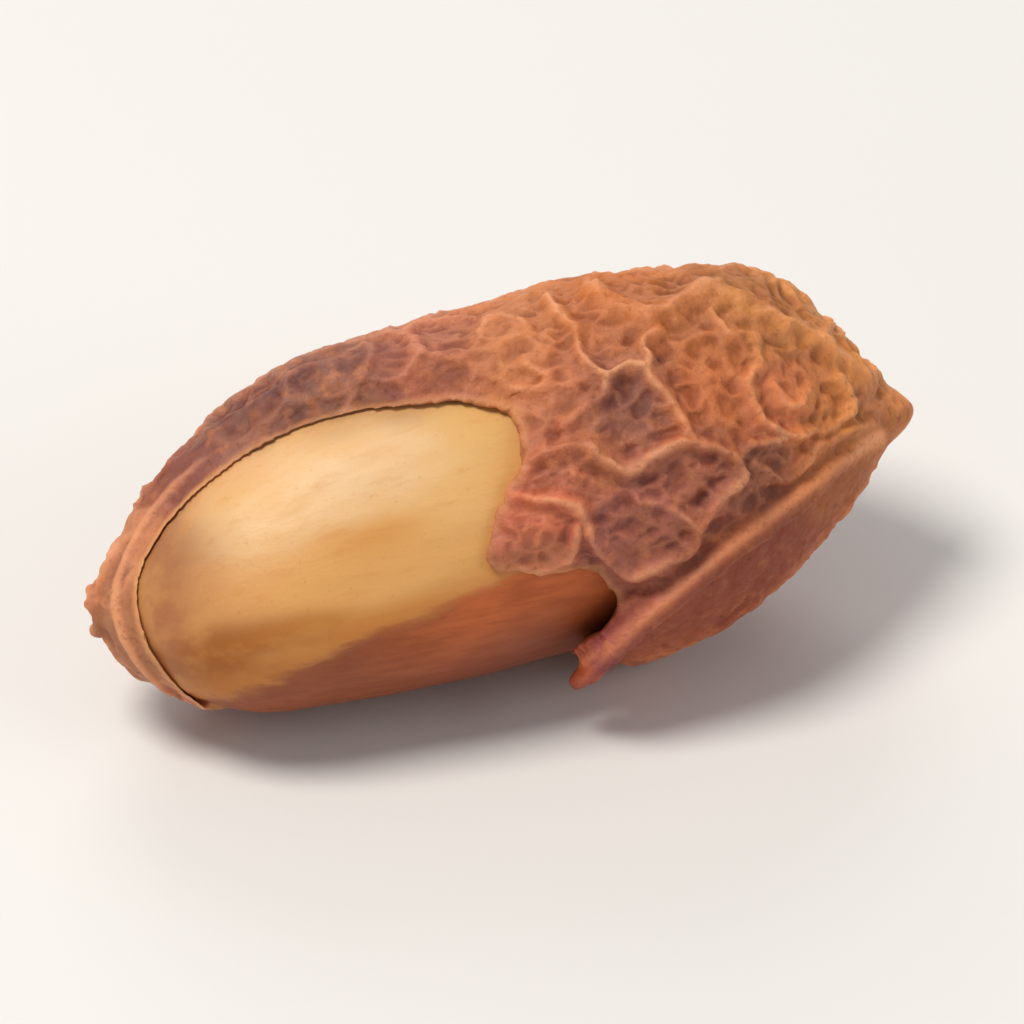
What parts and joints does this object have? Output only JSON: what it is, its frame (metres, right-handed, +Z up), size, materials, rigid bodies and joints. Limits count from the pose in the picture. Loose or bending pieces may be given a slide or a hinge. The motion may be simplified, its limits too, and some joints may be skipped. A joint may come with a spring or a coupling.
{
  "type": "pistachio in hull",
  "caption": "Dried pistachio still in its wrinkled hull, which has torn open over one flank and shows the smooth pale nut shell inside.",
  "frame": {"origin": "centre of the bounding box's bottom face, on the surface the nut rests on", "axes": "+X along the nut towards its beaked tip, +Z up; the torn side of the hull looks towards -Y and up"},
  "size_m": [0.0238, 0.0106, 0.0105],
  "materials": {
    "hull": "dried fruit skin: matt, wrinkled, purple-brown to tan",
    "nut_shell": "hard nut shell: smooth, satin, cream to tan"
  },
  "bodies": {
    "root": {"hull": "hull", "nut_shell": "nut_shell"}
  },
  "joints": []
}
